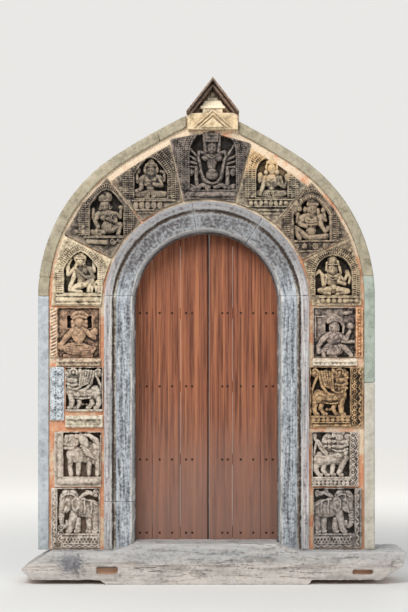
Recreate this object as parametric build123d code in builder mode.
from build123d import *

# Carved stone doorway of a brick temple with its two plank leaves. X runs along the wall, Z up from
# the bed of the sill, and the carved face looks along -Y. Depths are given as "out", the distance
# towards the viewer from the plane Y = 0 through the middle of the sill.
import os
from dataclasses import dataclass
from math import atan2, cos, degrees, hypot, radians, sin, sqrt

os.makedirs("parts", exist_ok=True)

# Doorway opening and the moulded stone surround
opening_half = 576.0
spring_z = 2224.0
surround_width = 244.0
arch_bed_rise = 64.0
crown_joint_left = -8.0
crown_joint_right = 33.0
jamb_base_height = 384.0

# Depths of the layers of the wall piece
sill_depth = 460.0
stone_back = -60.0
backing = 30.0
mortar_depth = 130.0
block_proud = 18.0
band_proud = 26.0
surround_depth = 170.0
niche_depth = 62.0
niche_rim = 18.0
carve_lean = 8.0

# Sill
sill_height = 256.0
lip_rise = 64.0
lip_slope = 180.0
sill_left_reach = 115.0
sill_right_reach = 230.0
sill_bed_half = 800.0
sill_end_rise = 34.0
sill_nose = 144.0
mortise_width = 168.0
mortise_depth = 60.0
mortise_left_x = -788.0
mortise_right_x = 1234.0
mortise_z = 80.0
mortise_left_height = 58.0
mortise_right_height = 36.0

# Outer band: a keel arch of two radii
field_width = 444.0
band_width = 86.0
band_chamfer = 10.0
band_spring_rise = 56.0
haunch_angle = 57.0
flat_radius = 5200.0
band_left_joints = (5.0, 156.0)
band_right_joints = (-688.0, 168.0)
band_top_joint = -16.0

# Gable over the keel
gable_shift = 50.0
gable_half = 212.0
gable_foot_drop = 65.0
gable_height = 272.0
gable_thickness = 38.0
gable_proud = 96.0
gable_recess = 64.0
pinnacle_body_height = 132.0
pinnacle_body_half = 200.0
pinnacle_shoulder = 40.0
pinnacle_proud = 44.0
tier_heights = (44.0, 20.0, 48.0, 34.0, 44.0)
tier_halves = (80.0, 99.0, 86.0, 46.0, 22.0)
tier_leans = (0.0, 0.0, 22.0, 12.0, 10.0)
tier_setback = 34.0

# Rows of carved blocks beside the jambs
joint = 10.0
lion_joint = 34.0
dancer_height = 400.0
slab_height = 58.0
lion_height = 484.0
beast_height = 442.0
lion_slab_height = 96.0
lion_slab_joint = 34.0
rope_width = 58.0
scroll_width = 112.0
slab_proud = 16.0
fan_drop = 18.0
arch_joints_left = (12.5, 37.5, 63.5)
arch_joints_right = (15.5, 40.0, 64.5)

# Leaves
leaf_gap = 17.0
leaf_meeting_x = 15.5
plank_thickness = 40.0
plank_lines = (441.0, 213.0)
plank_gap = 2.0
plank_chamfer = 3.0
ledge_thickness = 40.0
ledge_height = 90.0
ledge_first_z = 372.0
ledge_top_margin = 74.0
ledge_count = 5
ledge_chamfer = 8.0
leaf_floor_gap = 6.0
leaf_cover = 30.0
leaf_clearance = 0.5
stile_reach = 4.0
pin_radius = 22.0
pin_clearance = 0.1
pin_end_gap = 0.3
bottom_pin = 40.0
top_pin = 60.0
beam_gap = 6.0
beam_height = 160.0
beam_depth = 130.0
beam_overhang = 100.0
nail_head = 17.0
nail_rise = 5.0
nail_lean = 6.0
nail_shank = 6.0
nail_grip = 20.0
nail_shares = ((0.29, 0.68), (0.26, 0.71), (0.21, 0.44))

# Places that follow from the sizes above
sill_face = sill_depth / 2
mortar_face = stone_back + mortar_depth
block_face = mortar_face + block_proud
band_face = mortar_face + band_proud
surround_face = stone_back + surround_depth
pocket_floor = stone_back + backing
ground = block_face - niche_depth
surround_half = opening_half + surround_width
arch_bed_z = spring_z + arch_bed_rise
fan_z = spring_z - fan_drop
band_inner = surround_half + field_width
band_half = band_inner + band_width
sill_left = band_half + sill_left_reach
sill_right = band_half + sill_right_reach
band_spring_z = spring_z + band_spring_rise
far = 3 * band_half
keel_offset = flat_radius - band_half
keel_centre = (keel_offset * cos(radians(haunch_angle)),
               band_spring_z - keel_offset * sin(radians(haunch_angle)))

# Stone surround in section, from its outer edge inwards: (distance from the edge, depth below face)
surround_section = ((0, 0), (60, 0), (70, 15), (88, 15), (96, 5), (surround_width - 14, 5),
                    (surround_width, 20))


def front(out):
    """The plane parallel to the wall at this distance towards the viewer."""
    return Plane.XZ.offset(out)


def finish(name, part):
    """Label a finished piece and write it."""
    part.label = name
    export_step(part, f"parts/{name}.step")


def keel_apex(inset):
    """Height at which the two flat arcs of the keel, moved in by inset, meet."""
    return keel_centre[1] + sqrt((flat_radius - inset) ** 2 - keel_centre[0] ** 2)


gable_foot_z = keel_apex(0) - gable_foot_drop
gable_apex_z = gable_foot_z + gable_height
pinnacle_z = gable_foot_z - pinnacle_body_height


def on_circle(centre, radius, angle, side):
    """A point on a circle, the angle measured up from the horizontal on one side of the door."""
    x = radius * cos(radians(angle)) - centre[0]
    return side * x, centre[1] + radius * sin(radians(angle))


def draw_keel(inset, mode=Mode.ADD):
    """Keel-arched outline of the whole carved surround, moved in by inset."""
    low_radius = band_half - inset
    top = (0, keel_apex(inset))
    with BuildLine() as outline:
        for side in (-1, 1):
            foot = (side * low_radius, sill_height)
            spring = (side * low_radius, band_spring_z)
            knee = on_circle((0, band_spring_z), low_radius, haunch_angle, side)
            low_mid = on_circle((0, band_spring_z), low_radius, haunch_angle / 2, side)
            rise = flat_radius - inset
            end_angle = Vector(keel_centre[0], top[1] - keel_centre[1]).get_angle(Vector(1, 0))
            high_mid = on_circle(keel_centre, rise, (haunch_angle + end_angle) / 2, side)
            Line((0, sill_height), foot)
            Line(foot, spring)
            ThreePointArc(spring, low_mid, knee)
            ThreePointArc(knee, high_mid, top)
    make_face(outline.edges(), mode=mode)


def draw_doorway(radius, mode=Mode.ADD):
    """Straight-sided doorway with a round head."""
    with Locations((0, spring_z)):
        Circle(radius, mode=mode)
    with Locations((0, (spring_z + sill_height) / 2)):
        Rectangle(2 * radius, spring_z - sill_height, mode=mode)


def draw_window(left, right, low, high, mode=Mode.INTERSECT):
    """Keep what lies in an upright rectangle."""
    Polygon((left, low), (right, low), (right, high), (left, high), mode=mode)


def draw_wedge(start, end, gap=0.0, mode=Mode.INTERSECT):
    """Keep what lies between two rays from the arch's centre, angles in degrees from upright."""
    middle, half = radians((start + end) / 2), radians((end - start) / 2)
    tip = gap / sin(half)
    x, z = tip * sin(middle), spring_z + tip * cos(middle)
    rays = [radians(start), middle, radians(end)]
    Polygon((x, z), *[(x + far * sin(a), z + far * cos(a)) for a in rays], mode=mode)


def stand_relief(shape, base, rise, lean):
    """Stand a flat outline on a plane of the wall with planar, leaning sides."""
    relief = extrude(shape, amount=rise, taper=degrees(atan2(lean, rise)), mode=Mode.PRIVATE)
    add(front(base).location * relief)


def raise_shape(points, base, rise, lean=carve_lean):
    """Carved relief: a convex outline standing on a plane, its sides leaning in."""
    with BuildSketch() as shape:
        Polygon(*points)
    stand_relief(shape.sketch, base, rise, lean)


def raise_limb(start, end, width, base, rise):
    """Relief of an arm, leg, tail or trunk between two points, narrowed at its ends."""
    length = hypot(end[0] - start[0], end[1] - start[1])
    along = ((end[0] - start[0]) / length, (end[1] - start[1]) / length)
    half = width / 2
    outline = [(-half, 0), (0, -half), (length, -half), (length + half, 0), (length, half), (0, half)]
    raise_shape([(start[0] + u * along[0] - v * along[1], start[1] + u * along[1] + v * along[0])
                 for u, v in outline], base, rise, 0.45 * half)


def raise_round(centre, radius, squash, base, rise, sides=8):
    """Relief of a rounded form such as a head or a belly, faceted as it was chiselled."""
    angles = [radians(360 * (i + 0.5) / sides) for i in range(sides)]
    raise_shape([(centre[0] + radius * cos(a), centre[1] + radius * squash * sin(a))
                 for a in angles], base, rise, 0.4 * radius * min(1, squash))


@dataclass(frozen=True)
class Frame:
    """An upright rectangle on the block's face that a carving fills."""

    x: float
    floor: float
    width: float
    height: float

    def at(self, u, v):
        """The point at u of the width from the middle and v of the height above the floor."""
        return self.x + u * self.width, self.floor + v * self.height

    def all(self, *shares):
        """Several such points."""
        return [self.at(u, v) for u, v in shares]


@dataclass(frozen=True)
class Deity:
    """A seated figure: arms are (elbow, hand) points, legs (hip, knee, foot), left to right."""

    arms: tuple
    knees: tuple = ((-0.44, 0.12), (0.44, 0.12))
    crown: float = 0.16
    belly: float = 0.12
    pointed: bool = False


# Arms as shares of the niche: elbow and hand, out from the middle and up from the floor
raised_arm = ((0.30, 0.52), (0.36, 0.76))
bent_arm = ((0.28, 0.38), (0.06, 0.37))
knee_arm = ((0.27, 0.44), (0.36, 0.24))
offered_arm = ((0.30, 0.42), (0.41, 0.46))
looped_arm = ((0.37, 0.60), (0.27, 0.80))


def to_side(side, arm):
    """An arm's points moved to one side of the figure."""
    return tuple((side * u, v) for u, v in arm)


deities = {
    "carving_left_1": Deity((to_side(-1, raised_arm), to_side(1, bent_arm))),
    "carving_left_2": Deity((to_side(-1, knee_arm), to_side(1, offered_arm)), belly=0.2, pointed=True),
    "carving_left_3": Deity((to_side(-1, looped_arm), to_side(1, raised_arm), to_side(1, knee_arm)),
                            knees=((-0.44, 0.12), (0.34, 0.30)), pointed=True),
    "carving_right_1": Deity((to_side(-1, bent_arm), to_side(1, knee_arm))),
    "carving_right_2": Deity((to_side(-1, raised_arm), to_side(1, offered_arm)),
                             knees=((-0.34, 0.28), (0.44, 0.12)), crown=0.2, pointed=True),
    "carving_right_3": Deity((to_side(-1, looped_arm), to_side(1, looped_arm)), crown=0.22),
}


def draw_niche(frame, pointed, mode=Mode.ADD):
    """Opening of a niche, its head cut in six facets, round or drawn up to a point."""
    shoulder = 0.62 if pointed else 0.72
    rise = 1.06 - shoulder if pointed else 1.0 - shoulder
    angles = [radians(30 * i) for i in range(7)]
    lifts = [1 - abs(cos(a)) ** 1.3 if pointed else sin(a) for a in angles]
    head = [(0.5 * cos(a), shoulder + rise * lift) for a, lift in zip(angles, lifts)]
    Polygon(*frame.all((-0.5, 0), (0.5, 0), *head), mode=mode)


def carve_niche(frame, pointed):
    """Sink an arched niche into the block and run a raised rim round it."""
    with BuildSketch(front(block_face)) as opening:
        draw_niche(frame, pointed)
    extrude(opening.sketch, amount=ground - block_face, mode=Mode.SUBTRACT)
    with BuildSketch(front(block_face)) as rim:
        draw_niche(frame, pointed)
        offset(amount=niche_rim, kind=Kind.INTERSECTION)
        draw_niche(frame, pointed, mode=Mode.SUBTRACT)
        draw_window(-far, far, frame.floor, far)
    extrude(rim.sketch, amount=niche_rim / 2)


def carve_pedestal(frame):
    """Lotus seat that stands out under the niche."""
    raise_shape(frame.all((-0.62, -0.04), (-0.52, -0.2), (0.52, -0.2), (0.62, -0.04)),
                block_face - joint, block_proud + joint)
    raise_shape(frame.all((-0.56, -0.22), (-0.56, -0.28), (0.56, -0.28), (0.56, -0.22)),
                block_face - joint, block_proud)


def carve_deity(frame, deity):
    """Seated figure with crossed or raised legs, torso, crowned head and arms."""
    limb = 0.11 * frame.width
    torso, skin = 0.75 * niche_depth, 0.6 * niche_depth
    for knee in deity.knees:
        raise_limb(frame.at(knee[0] / 4, 0.16), frame.at(*knee), 1.5 * limb, ground, skin)
        raise_limb(frame.at(*knee), frame.at(knee[0] / 6, 0.05), 1.2 * limb, ground, torso)
    raise_shape(frame.all((-deity.belly, 0.12), (deity.belly, 0.12), (0.2, 0.56), (-0.2, 0.56)),
                ground, torso)
    raise_round(frame.at(0, 0.68), 0.13 * frame.width, 1.1, ground, torso)
    raise_shape(frame.all((-0.13, 0.74), (0.13, 0.74), (0.05, 0.76 + deity.crown),
                          (-0.05, 0.76 + deity.crown)), ground, skin)
    for elbow, hand in deity.arms:
        side = 1 if elbow[0] > 0 else -1
        raise_limb(frame.at(0.17 * side, 0.54), frame.at(*elbow), limb, ground, skin)
        raise_limb(frame.at(*elbow), frame.at(*hand), 0.9 * limb, ground, torso)


def carve_guardian(frame):
    """Many-armed seated deity of the crown block: a fan of arms, garland and tall crown."""
    limb = 0.07 * frame.width
    torso, skin = 0.8 * niche_depth, 0.6 * niche_depth
    for side in (-1, 1):
        for step in range(4):
            angle = radians(35 + 32 * step)
            hand = (side * (0.10 + 0.30 * sin(angle)), 0.56 - 0.22 * cos(angle))
            raise_limb(frame.at(0.12 * side, 0.56), frame.at(*hand), limb, ground, skin)
        raise_limb(frame.at(0.1 * side, 0.16), frame.at(0.42 * side, 0.08), 2 * limb, ground, torso)
        raise_limb(frame.at(0.42 * side, 0.06), frame.at(0, 0.04), 1.6 * limb, ground, torso)
        raise_limb(frame.at(0.17 * side, 0.5), frame.at(0.13 * side, 0.22), limb, ground, torso)
    raise_shape(frame.all((-0.11, 0.1), (0.11, 0.1), (0.18, 0.56), (-0.18, 0.56)), ground, torso)
    raise_round(frame.at(0, 0.68), 0.1 * frame.width, 1.15, ground, torso)
    raise_shape(frame.all((-0.13, 0.75), (0.13, 0.75), (0.05, 1.0), (-0.05, 1.0)), ground, torso)


def carve_dancer(frame, side):
    """Half-length figure over a swelling skirt, one arm hanging and one raised."""
    limb = 0.16 * frame.width
    torso, skin = 0.75 * niche_depth, 0.55 * niche_depth
    raise_shape(frame.all((-0.58, 0.0), (0.58, 0.0), (0.46, 0.2), (0.2, 0.34), (-0.2, 0.34),
                          (-0.46, 0.2)), ground, torso)
    raise_shape(frame.all((-0.15, 0.3), (0.15, 0.3), (0.28, 0.66), (-0.28, 0.66)), ground, torso)
    raise_round(frame.at(0, 0.84), 0.2 * frame.width, 1.1, ground, torso)
    raise_shape(frame.all((-0.32, 0.93), (0.32, 0.93), (0.2, 1.06), (-0.2, 1.06)), ground, skin)
    raise_limb(frame.at(-0.3 * side, 0.6), frame.at(-0.5 * side, 0.4), limb, ground, skin)
    raise_limb(frame.at(-0.5 * side, 0.4), frame.at(-0.5 * side, 0.12), limb, ground, skin)
    raise_limb(frame.at(0.3 * side, 0.62), frame.at(0.5 * side, 0.48), limb, ground, skin)
    raise_limb(frame.at(0.5 * side, 0.48), frame.at(0.5 * side, 0.78), limb, ground, torso)


def carve_lion(frame, side):
    """Lion facing out, jaws open, mane raised and tail upright; side is the way it faces."""
    body, leg = 0.8 * niche_depth, 0.6 * niche_depth
    thick = 0.13 * frame.width
    raise_shape(frame.all(*[(side * u, v) for u, v in (
        (0.02, 0.22), (0.12, 0.52), (-0.24, 0.44), (-0.38, 0.3), (-0.34, 0.18))]), ground, leg)
    raise_round(frame.at(0.16 * side, 0.62), 0.24 * frame.width, 1.0, ground, leg)
    raise_round(frame.at(0.22 * side, 0.70), 0.17 * frame.width, 1.0, ground, body)
    raise_limb(frame.at(0.28 * side, 0.74), frame.at(0.47 * side, 0.78), 0.8 * thick, ground, body)
    raise_limb(frame.at(0.28 * side, 0.62), frame.at(0.42 * side, 0.56), 0.7 * thick, ground, leg)
    raise_limb(frame.at(0.14 * side, 0.34), frame.at(0.28 * side, 0.08), thick, ground, body)
    raise_limb(frame.at(0.28 * side, 0.4), frame.at(0.46 * side, 0.34), thick, ground, leg)
    raise_limb(frame.at(-0.22 * side, 0.3), frame.at(-0.14 * side, 0.08), thick, ground, body)
    raise_limb(frame.at(-0.34 * side, 0.3), frame.at(-0.36 * side, 0.08), thick, ground, leg)
    raise_limb(frame.at(-0.36 * side, 0.3), frame.at(-0.44 * side, 0.66), 0.7 * thick, ground, leg)
    raise_limb(frame.at(-0.44 * side, 0.66), frame.at(-0.3 * side, 0.86), 0.7 * thick, ground, leg)


def carve_beast(frame, side):
    """Crouching tusked beast, head low and turned to the front."""
    body, leg = 0.8 * niche_depth, 0.6 * niche_depth
    thick = 0.15 * frame.width
    raise_shape(frame.all(*[(side * u, v) for u, v in (
        (0.2, 0.2), (0.26, 0.6), (-0.2, 0.62), (-0.44, 0.46), (-0.42, 0.24))]), ground, leg)
    raise_round(frame.at(0.14 * side, 0.64), 0.25 * frame.width, 1.1, ground, body)
    raise_round(frame.at(0.2 * side, 0.46), 0.13 * frame.width, 1.0, ground, body, 8)
    for ear in (0.0, 0.3):
        raise_limb(frame.at(ear * side, 0.82), frame.at((1.5 * ear - 0.08) * side, 0.94),
                   0.6 * thick, ground, body)
    for hip, foot in ((0.24, 0.36), (0.0, 0.02), (-0.24, -0.2), (-0.38, -0.4)):
        raise_limb(frame.at(hip * side, 0.3), frame.at(foot * side, 0.08), thick, ground, leg)
    raise_limb(frame.at(-0.4 * side, 0.4), frame.at(-0.46 * side, 0.8), 0.6 * thick, ground, leg)


def carve_elephant(frame, side):
    """Elephant in profile, trunk curled under, a small rider's scroll behind its head."""
    body, leg = 0.8 * niche_depth, 0.6 * niche_depth
    thick = 0.2 * frame.width
    raise_shape(frame.all(*[(side * u, v) for u, v in (
        (0.16, 0.26), (0.2, 0.72), (0.0, 0.82), (-0.3, 0.78), (-0.46, 0.58), (-0.44, 0.28))]),
        ground, body)
    raise_round(frame.at(0.24 * side, 0.72), 0.2 * frame.width, 1.15, ground, body)
    raise_limb(frame.at(0.1 * side, 0.76), frame.at(0.08 * side, 0.5), 0.8 * thick, ground,
               niche_depth)
    raise_limb(frame.at(0.36 * side, 0.68), frame.at(0.42 * side, 0.4), 0.7 * thick, ground, body)
    raise_limb(frame.at(0.42 * side, 0.4), frame.at(0.38 * side, 0.16), 0.55 * thick, ground, body)
    raise_limb(frame.at(0.38 * side, 0.16), frame.at(0.28 * side, 0.1), 0.5 * thick, ground, body)
    raise_limb(frame.at(0.3 * side, 0.56), frame.at(0.44 * side, 0.6), 0.25 * thick, ground, body)
    for hip in (0.1, -0.12, -0.34):
        raise_limb(frame.at(hip * side, 0.34), frame.at(hip * side, 0.06), thick, ground, leg)
    raise_limb(frame.at(-0.44 * side, 0.6), frame.at(-0.46 * side, 0.3), 0.25 * thick, ground, leg)
    raise_round(frame.at(-0.2 * side, 0.92), 0.12 * frame.width, 1.0, ground, leg, 8)


def carve_plinth(frame):
    """Moulded base course across the foot of a block: two rounded steps."""
    for low, proud in ((0.0, 0.3), (0.5, 0.8)):
        raise_shape(frame.all((-0.5, low), (0.5, low), (0.5, low + 0.42), (-0.5, low + 0.42)),
                    ground, niche_depth + proud * block_proud, lean=0.1 * frame.height)


def carve_beads(x, low, high, width, count, base, rise):
    """Upright string of beads along a block's edge."""
    pitch = (high - low) / count
    for i in range(count):
        raise_round((x, low + (i + 0.5) * pitch), width / 2, 0.8 * pitch / width, base, rise, 6)


# Sill: the raised lip between the jambs falls away on both sides in front of them
lip_top = sill_height + lip_rise
bed_front = [(-sill_bed_half, 0), (sill_bed_half, 0),
             (sill_bed_half + sill_end_rise, sill_end_rise),
             (sill_right - 1.4 * sill_nose, sill_end_rise),
             (sill_right - 0.2 * sill_nose, sill_nose), (sill_right, sill_height)]
bed_back = [(-sill_left + 1.6 * sill_nose, sill_height), (-sill_left, 0.8 * sill_nose),
            (-sill_left + 0.6 * sill_nose, sill_end_rise),
            (-sill_bed_half - sill_end_rise, sill_end_rise)]
with BuildPart() as sill:
    with BuildSketch(front(-sill_face)):
        Polygon(*bed_front, *bed_back)
    extrude(amount=sill_depth)
    with BuildSketch(front(surround_face)):
        Polygon((-opening_half - lip_slope, sill_height), (opening_half + lip_slope, sill_height),
                (opening_half - 0.2 * lip_slope, lip_top), (0.2 * lip_slope - opening_half, lip_top))
    extrude(amount=sill_face - surround_face)
    with BuildSketch(front(stone_back)):
        with Locations((0, sill_height + lip_rise / 2)):
            Rectangle(2 * opening_half, lip_rise)
    extrude(amount=surround_depth)
    for x, height in ((mortise_left_x, mortise_left_height), (mortise_right_x, mortise_right_height)):
        with BuildSketch(front(sill_face)):
            with Locations((x, mortise_z + height / 2)):
                Rectangle(mortise_width, height)
        extrude(amount=-mortise_depth, mode=Mode.SUBTRACT)
    stile_x = opening_half + plank_thickness + stile_reach
    hinge_out = stone_back - leaf_clearance - plank_thickness
    with BuildSketch(Plane.XY.offset(sill_height)):
        with Locations((-stile_x, -hinge_out), (stile_x, -hinge_out)):
            Circle(pin_radius + pin_clearance)
    extrude(amount=-bottom_pin, mode=Mode.SUBTRACT)
finish("threshold_stone", sill.part)

# Surround: the moulded section runs up the jambs and round the arch, then is cut into its stones
section = [(-surround_half + u, -surround_face + sunk) for u, sunk in surround_section]
section += [(-opening_half, -stone_back), (-surround_half, -stone_back)]
with BuildPart() as surround:
    for side in (1, -1):
        with BuildSketch(Plane.XY.offset(sill_height)):
            Polygon(*[(side * x, y) for x, y in section])
        extrude(amount=spring_z - sill_height)
    with BuildSketch(Plane.XY.offset(spring_z)):
        Polygon(*section)
    revolve(axis=Axis((0, 0, spring_z), (0, 1, 0)), revolution_arc=180)


def cut_stone(name, *keep):
    """One stone of the surround: what lies in each of the drawn regions."""
    with BuildPart() as stone:
        add(surround.part)
        with BuildSketch(front(stone_back)):
            draw_window(-far, far, -far, far, mode=Mode.ADD)
            for draw, sizes in keep:
                draw(*sizes)
        extrude(amount=surround_depth, mode=Mode.INTERSECT)
    finish(name, stone.part)


jamb_base_top = sill_height + jamb_base_height
cut_stone("jamb_base_left", (draw_window, (-far, 0, sill_height, jamb_base_top)))
cut_stone("jamb_left", (draw_window, (-far, 0, jamb_base_top, arch_bed_z)))
cut_stone("jamb_right", (draw_window, (0, far, sill_height, arch_bed_z)))
above_bed = (draw_window, (-far, far, arch_bed_z, far))
cut_stone("arch_stone_left", above_bed, (draw_wedge, (-90, crown_joint_left)))
cut_stone("arch_stone_crown", above_bed, (draw_wedge, (crown_joint_left, crown_joint_right)))
cut_stone("arch_stone_right", above_bed, (draw_wedge, (crown_joint_right, 90)))


def gable_outline(grow):
    """Triangle of the gable, moved out by grow, with its feet carried down to the foot line."""
    slope = (gable_apex_z - gable_foot_z) / gable_half
    apex = gable_apex_z + grow * sqrt(1 + slope**2)
    half = (apex - gable_foot_z) / slope
    return [(gable_shift - half, gable_foot_z), (gable_shift + half, gable_foot_z),
            (gable_shift, apex)]


# Outer band of dressed stone strips, butted end to end up to the gable
def draw_band():
    """Face of the whole band, clear of the gable."""
    draw_keel(0)
    draw_keel(band_width, mode=Mode.SUBTRACT)
    draw_window(gable_shift - gable_half, gable_shift + gable_half, gable_foot_z - gable_half, far,
                mode=Mode.SUBTRACT)


def on_rim(edge):
    """Whether an edge of a strip lies on the band's outer outline."""
    if edge.geom_type == GeomType.CIRCLE:
        return min(abs(edge.radius - band_half), abs(edge.radius - flat_radius)) < band_chamfer
    return abs(edge.center().X) > band_half - band_chamfer


def make_band(name, low, high, start, end):
    """One strip of the band between two heights and two rays, its front edges eased."""
    with BuildPart() as strip:
        with BuildSketch(front(stone_back)):
            draw_band()
            draw_window(-far, far, low, high)
            draw_window(0 if start >= 0 else -far, 0 if end <= 0 else far, -far, far)
            if high > band_spring_z + band_half / 2:
                draw_wedge(max(start, -90), min(end, 90))
        extrude(amount=band_face - stone_back)
        chamfer(strip.faces().sort_by(Axis.Y)[0].edges().filter_by(on_rim), length=band_chamfer)
    finish(name, strip.part)


left_low, left_high = (band_spring_z + rise for rise in band_left_joints)
right_low, right_high = (band_spring_z + rise for rise in band_right_joints)
make_band("band_left_lower", sill_height, left_low, -90, 0)
make_band("band_left_middle", left_low, left_high, -90, 0)
make_band("band_left_arch", left_high, far, -90, band_top_joint)
make_band("band_left_upper", left_high, far, band_top_joint, 0)
make_band("band_right_lower", sill_height, right_low, 0, 90)
make_band("band_right_middle", right_low, right_high, 0, 90)
make_band("band_right_arch", right_high, far, 0, 90)

# Rows of blocks, worked out downwards from the springing
dancer_top = fan_z - joint
dancer_low = dancer_top - dancer_height
slab_low = dancer_low - joint - slab_height
lion_top = slab_low - joint
lion_low = lion_top - lion_height
beast_top = lion_low - lion_joint
beast_low = beast_top - beast_height
elephant_top = beast_low - joint
lion_panel_low = lion_low + lion_slab_height + lion_slab_joint
rows = {"dancer": (dancer_low, dancer_top), "lion": (lion_low, lion_top),
        "beast": (beast_low, beast_top), "elephant": (sill_height + joint, elephant_top)}

# Mortar kept beside each block, next to the jamb and next to the band
side_gaps = {"dancer": (34, rope_width + 14), "lion": (12, scroll_width + 14), "beast": (24, 44),
             "elephant": (36, 18)}
outlines = {}


def place_block(name, side, low, high, inner_gap, outer_gap):
    """Remember a rectangular block beside a jamb as (left, right, low, high)."""
    ends = sorted((side * (surround_half + inner_gap), side * (band_inner - outer_gap)))
    outlines[name] = (*ends, low, high)


for side_name, side in (("left", -1), ("right", 1)):
    for number, kind in enumerate(("dancer", "lion", "beast", "elephant"), start=4):
        low, high = rows[kind]
        inner_gap, outer_gap = side_gaps[kind]
        if kind == "lion":
            low = lion_panel_low if side < 0 else lion_low
            outer_gap = scroll_width + 2 * joint if side < 0 else joint
        place_block(f"carving_{side_name}_{number}", side, low, high, inner_gap, outer_gap)
    rope_gap = band_inner - surround_half - rope_width - joint
    place_block(f"rope_border_{side_name}", side, *rows["dancer"], rope_gap, joint)
    place_block(f"slab_{side_name}", side, slab_low, slab_low + slab_height, 28, rope_width)
scroll_gap = band_inner - surround_half - scroll_width - joint
place_block("scroll_block", -1, lion_low + slab_height, lion_top, scroll_gap, joint)
place_block("lion_slab", -1, lion_low, lion_low + lion_slab_height, 12, scroll_width + 2 * joint)

# Blocks that fan round the arch, as (start angle, end angle, mortar left above the block)
arch_blocks = {"carving_centre": (-arch_joints_left[0], arch_joints_right[0], 20)}
for side_name, side, joints in (("left", -1, arch_joints_left), ("right", 1, arch_joints_right)):
    limits = (*joints, 90)
    for number, top_gap in ((1, 56), (2, 14), (3, 14)):
        ends = sorted((side * limits[number - 1], side * limits[number]))
        arch_blocks[f"carving_{side_name}_{number}"] = (*ends, top_gap)


def keel_reach(angle, inset):
    """Distance from the fan's centre to the keel, moved in by inset, along a ray from upright."""
    across, up = abs(sin(radians(angle))), cos(radians(angle))
    low_radius, rise = band_half - inset, band_spring_z - fan_z
    reach = rise * up + sqrt(low_radius**2 - (rise * across) ** 2)
    if reach * up - rise > low_radius * sin(radians(haunch_angle)):
        along = (keel_centre[1] - fan_z) * up - keel_centre[0] * across
        aside = (keel_centre[1] - fan_z) * across + keel_centre[0] * up
        reach = along + sqrt((flat_radius - inset) ** 2 - aside**2)
    return reach


def fan_point(angle, reach):
    """A point on a ray of the fan."""
    return reach * sin(radians(angle)), fan_z + reach * cos(radians(angle))


def draw_block(name):
    """Face of one carved block, half a joint inside its lines."""
    if name in outlines:
        draw_window(*outlines[name], mode=Mode.ADD)
        return
    start, end, top_gap = arch_blocks[name]
    angles = (start, (start + end) / 2, end)
    inner = [fan_point(a, surround_half + 2 * joint + fan_drop * cos(radians(a))) for a in angles]
    outer = [fan_point(a, min(keel_reach(a, band_width + top_gap),
                              (pinnacle_z - fan_z) / max(cos(radians(a)), 0.1))) for a in angles]
    Polygon(*inner, *outer[::-1])
    offset(amount=-joint / 2, kind=Kind.INTERSECTION)


def ring_frame(angle, reach, width, height):
    """Upright frame centred at this angle from upright and this share of the ring's depth."""
    depth = band_inner - surround_half
    radius = surround_half + reach * depth
    return Frame(radius * sin(radians(angle)),
                 spring_z + radius * cos(radians(angle)) - height * depth / 2,
                 width * depth, height * depth)


def row_frame(name, foot=0.1, margin=0.86, shift=0.0):
    """Upright frame inside a rectangular block, above a base course."""
    left, right, low, high = outlines[name]
    width, height = right - left, high - low
    return Frame((left + right) / 2 + shift * width, low + foot * height, margin * width,
                 (0.95 - foot) * height)


niches = {
    "carving_centre": ring_frame(3.2, 0.76, 0.88, 1.04),
    "carving_left_1": ring_frame(-23.8, 0.66, 0.6, 0.72),
    "carving_left_2": ring_frame(-48.5, 0.58, 0.6, 0.78),
    "carving_left_3": ring_frame(-76.5, 0.50, 0.68, 0.72),
    "carving_right_1": ring_frame(27.3, 0.7, 0.58, 0.76),
    "carving_right_2": ring_frame(51.0, 0.58, 0.62, 0.76),
    "carving_right_3": ring_frame(77.4, 0.52, 0.68, 0.72),
}


def start_block(name, proud=0.0):
    """The squared block itself, from its pocket in the mortar to its face."""
    with BuildSketch(front(pocket_floor)) as face:
        draw_block(name)
    extrude(face.sketch, amount=block_face + proud - pocket_floor)


def trim_block(name):
    """Cut back what the carving would carry over the edges of its block."""
    with BuildSketch(front(pocket_floor)) as face:
        draw_block(name)
    extrude(face.sketch, amount=surround_depth, mode=Mode.INTERSECT)


for name, deity in deities.items():
    with BuildPart() as block:
        start_block(name)
        carve_niche(niches[name], deity.pointed)
        carve_deity(niches[name], deity)
        carve_pedestal(niches[name])
        trim_block(name)
    finish(name, block.part)

with BuildPart() as crown_block:
    start_block("carving_centre")
    carve_niche(niches["carving_centre"], False)
    carve_guardian(niches["carving_centre"])
    carve_pedestal(niches["carving_centre"])
    trim_block("carving_centre")
finish("carving_centre", crown_block.part)

row_carvings = {4: (carve_dancer, 0.14, 0.62), 5: (carve_lion, 0.1, 0.88),
                6: (carve_beast, 0.2, 0.86), 7: (carve_elephant, 0.24, 0.9)}
for side_name, side in (("left", -1), ("right", 1)):
    for number, (carve, foot, margin) in row_carvings.items():
        name = f"carving_{side_name}_{number}"
        foot = 0.24 if name == "carving_right_5" else foot
        shift = -side * 0.13 if name == "carving_right_5" else 0.0
        margin = 0.7 if name == "carving_right_5" else margin
        frame = row_frame(name, foot, margin, shift)
        left, right, low, high = outlines[name]
        with BuildPart() as block:
            start_block(name)
            with BuildSketch(front(block_face)):
                draw_window(frame.x - 0.5 * frame.width, frame.x + 0.5 * frame.width, frame.floor,
                            frame.floor + frame.height, mode=Mode.ADD)
            extrude(amount=-niche_depth, mode=Mode.SUBTRACT)
            carve(frame, side)
            base = Frame((left + right) / 2, low, right - left, frame.floor - low)
            carve_plinth(base)
        finish(name, block.part)

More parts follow.
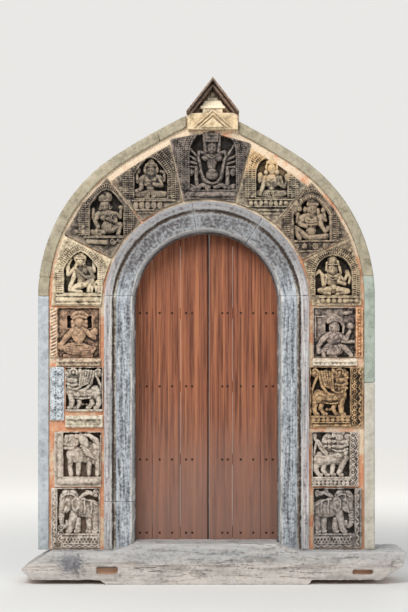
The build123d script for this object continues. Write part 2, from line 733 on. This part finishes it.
for side_name, side in (("left", -1), ("right", 1)):
    name = f"rope_border_{side_name}"
    left, right, low, high = outlines[name]
    with BuildPart() as rope:
        start_block(name)
        carve_beads((left + right) / 2, low, high, 0.8 * rope_width, 9, block_face, block_proud)
    finish(name, rope.part)
    with BuildPart() as slab:
        start_block(f"slab_{side_name}", proud=slab_proud)
        chamfer(slab.edges().group_by(Axis.Y)[0].filter_by(Axis.X), length=slab_proud / 2)
    finish(f"slab_{side_name}", slab.part)

with BuildPart() as scroll_block:
    start_block("scroll_block")
    left, right, low, high = outlines["scroll_block"]
    carve_beads((left + right) / 2, low, high, 0.7 * scroll_width, 5, block_face, block_proud)
finish("scroll_block", scroll_block.part)

with BuildPart() as lion_slab:
    start_block("lion_slab", proud=slab_proud)
    chamfer(lion_slab.edges().group_by(Axis.Y)[0].filter_by(Axis.X), length=slab_proud / 2)
finish("lion_slab", lion_slab.part)

# Pinnacle block and the gable that shelters it
body_top = pinnacle_z + pinnacle_body_height
pinnacle_face = block_face + pinnacle_proud


def draw_pinnacle():
    """Body with rounded shoulders."""
    with Locations((gable_shift, pinnacle_z + pinnacle_body_height / 2)):
        RectangleRounded(2 * pinnacle_body_half, pinnacle_body_height, pinnacle_shoulder)
    with Locations((gable_shift, pinnacle_z + pinnacle_shoulder / 2)):
        Rectangle(2 * pinnacle_body_half, pinnacle_shoulder)


with BuildPart() as pinnacle:
    with BuildSketch(front(pocket_floor)):
        draw_pinnacle()
    extrude(amount=pinnacle_face - pocket_floor)
    tier_back = mortar_face - gable_recess
    level = body_top
    for half, height, lean in zip(tier_halves, tier_heights, tier_leans):
        depth = min(half, pinnacle_face - tier_back - tier_setback)
        with BuildSketch(Plane.XY.offset(level)):
            with Locations((gable_shift, -tier_back - depth / 2)):
                Rectangle(2 * half, depth)
        extrude(amount=height, taper=degrees(atan2(lean, height)))
        level += height
    trefoil = Frame(gable_shift, pinnacle_z, 1.1 * pinnacle_body_half, pinnacle_body_height)
    raise_shape(trefoil.all((-0.5, 0.06), (0.5, 0.06), (0, 0.72)), pinnacle_face, block_proud)
finish("pinnacle_block", pinnacle.part)

with BuildPart() as hood:
    with BuildSketch(front(stone_back)):
        Polygon(*gable_outline(0))
        Polygon(*gable_outline(-gable_thickness), mode=Mode.SUBTRACT)
    extrude(amount=band_face + gable_proud - stone_back)
finish("gable_hood", hood.part)

# Mortar bed: fills the field between surround and band, with a pocket for every block
block_names = [*outlines, *arch_blocks]


def cut_pockets():
    """Sink a pocket for each block, for the pinnacle and for the shadowed gable."""
    for name in block_names:
        with BuildSketch(front(pocket_floor)) as pocket:
            draw_block(name)
        extrude(pocket.sketch, amount=surround_depth, mode=Mode.SUBTRACT)
    with BuildSketch(front(pocket_floor)) as pocket:
        draw_pinnacle()
    extrude(pocket.sketch, amount=surround_depth, mode=Mode.SUBTRACT)
    with BuildSketch(front(tier_back)) as recess:
        draw_window(gable_shift - gable_half, gable_shift + gable_half, body_top, far, mode=Mode.ADD)
    extrude(recess.sketch, amount=surround_depth, mode=Mode.SUBTRACT)


for side_name, side in (("left", -1), ("right", 1)):
    with BuildPart() as bed:
        with BuildSketch(front(stone_back)):
            draw_keel(band_width)
            draw_window(gable_shift - gable_half, gable_shift + gable_half,
                        gable_foot_z - gable_half, gable_foot_z, mode=Mode.ADD)
            Polygon(*gable_outline(-gable_thickness))
            draw_doorway(surround_half, mode=Mode.SUBTRACT)
            draw_window(*sorted((0, side * far)), sill_height, far)
        extrude(amount=mortar_depth)
        cut_pockets()
    finish(f"mortar_bed_{side_name}", bed.part)

# Leaves: planks nailed to ledges, hung on a round-backed stile that turns on its own pins
leaf_face = stone_back - leaf_clearance
ledge_back = hinge_out - ledge_thickness
leaf_low = sill_height + leaf_floor_gap
leaf_high = spring_z + opening_half + leaf_cover
ledge_pitch = (leaf_high - ledge_top_margin - ledge_first_z) / (ledge_count - 1)
ledge_heights = [ledge_first_z + i * ledge_pitch for i in range(ledge_count)]


def make_stile(name, x):
    """Hanging stile with a pin at each end, on the leaf's axis."""
    inward = -1 if x > 0 else 1
    with BuildPart() as stile:
        with BuildSketch(Plane.XY.offset(leaf_low)):
            with Locations((x, -hinge_out)):
                Circle(plank_thickness)
            with Locations((x + inward * plank_thickness / 2, -hinge_out)):
                Rectangle(plank_thickness, 2 * plank_thickness)
        extrude(amount=leaf_high - leaf_low)
        with BuildSketch(Plane.XY.offset(leaf_high)):
            with Locations((x, -hinge_out)):
                Circle(pin_radius)
        extrude(amount=beam_gap + top_pin - pin_end_gap)
        with BuildSketch(Plane.XY.offset(leaf_low)):
            with Locations((x, -hinge_out)):
                Circle(pin_radius)
        extrude(amount=pin_end_gap - leaf_floor_gap - bottom_pin)
    finish(name, stile.part)


def make_plank(name, left, right, spots):
    """Plank with its front arrises eased, holed for its nails."""
    cut = plank_chamfer
    with BuildPart() as plank:
        with BuildSketch(Plane.XY.offset(leaf_low)):
            Polygon((left, -hinge_out), (left, cut - leaf_face), (left + cut, -leaf_face),
                    (right - cut, -leaf_face), (right, cut - leaf_face), (right, -hinge_out))
        extrude(amount=leaf_high - leaf_low)
        with BuildSketch(front(leaf_face)):
            with Locations(*spots):
                Rectangle(nail_shank, nail_shank)
        extrude(amount=-plank_thickness, mode=Mode.SUBTRACT)
    finish(name, plank.part)


def make_ledge(name, left, right, middle):
    """Ledge across the back of a leaf, its back edges bevelled; the nails are driven into it."""
    with BuildPart() as ledge:
        with BuildSketch(front(ledge_back)):
            draw_window(left, right, middle - ledge_height / 2, middle + ledge_height / 2,
                        mode=Mode.ADD)
        extrude(amount=ledge_thickness)
        chamfer(ledge.edges().group_by(Axis.Y)[-1].filter_by(Axis.X), length=ledge_chamfer)
    finish(name, ledge.part)


def make_nails(name, spots):
    """Forged nails; the top row is driven flush, the arch stones stand close before it."""
    with BuildPart() as nails:
        with BuildSketch(front(leaf_face - plank_thickness - nail_grip)):
            with Locations(*spots):
                Rectangle(nail_shank, nail_shank)
        extrude(amount=plank_thickness + nail_grip)
        with BuildSketch() as heads:
            with Locations(*[spot for spot in spots if spot[1] < ledge_heights[-1]]):
                Rectangle(nail_head, nail_head)
        stand_relief(heads.sketch, leaf_face, nail_rise, nail_lean)
    finish(name, nails.part)


for side_name, side in (("left", -1), ("right", 1)):
    meeting = abs(leaf_meeting_x + side * leaf_gap / 2) * (1 if side > 0 else -1)
    lines = [stile_x - plank_thickness, *plank_lines, meeting]
    make_stile(f"stile_{side_name}", side * stile_x)
    spots = []
    for number, (outer, inner) in enumerate(zip(lines, lines[1:])):
        outer -= plank_gap / 2 if number else 0
        inner += plank_gap / 2 if number < len(plank_lines) else 0
        columns = [side * (outer - share * (outer - inner)) for share in nail_shares[number]]
        own_spots = [(x, z) for z in ledge_heights for x in columns]
        make_plank(f"plank_{side_name}_{number + 1}", *sorted((side * outer, side * inner)), own_spots)
        spots += own_spots
    ends = sorted((side * lines[0], side * (lines[-1] + plank_chamfer)))
    for number, height in enumerate(ledge_heights):
        make_ledge(f"ledge_{side_name}_{number + 1}", *ends, height)
    make_nails(f"nails_{side_name}", spots)

# Head beam behind the arch, socketed for the upper pins
beam_low = leaf_high + beam_gap
with BuildPart() as beam:
    with BuildSketch(front(stone_back)):
        draw_window(-stile_x - beam_overhang, stile_x + beam_overhang, beam_low,
                    beam_low + beam_height, mode=Mode.ADD)
    extrude(amount=-beam_depth)
    with BuildSketch(Plane.XY.offset(beam_low)):
        with Locations((-stile_x, -hinge_out), (stile_x, -hinge_out)):
            Circle(pin_radius + pin_clearance)
    extrude(amount=top_pin, mode=Mode.SUBTRACT)
finish("head_beam", beam.part)
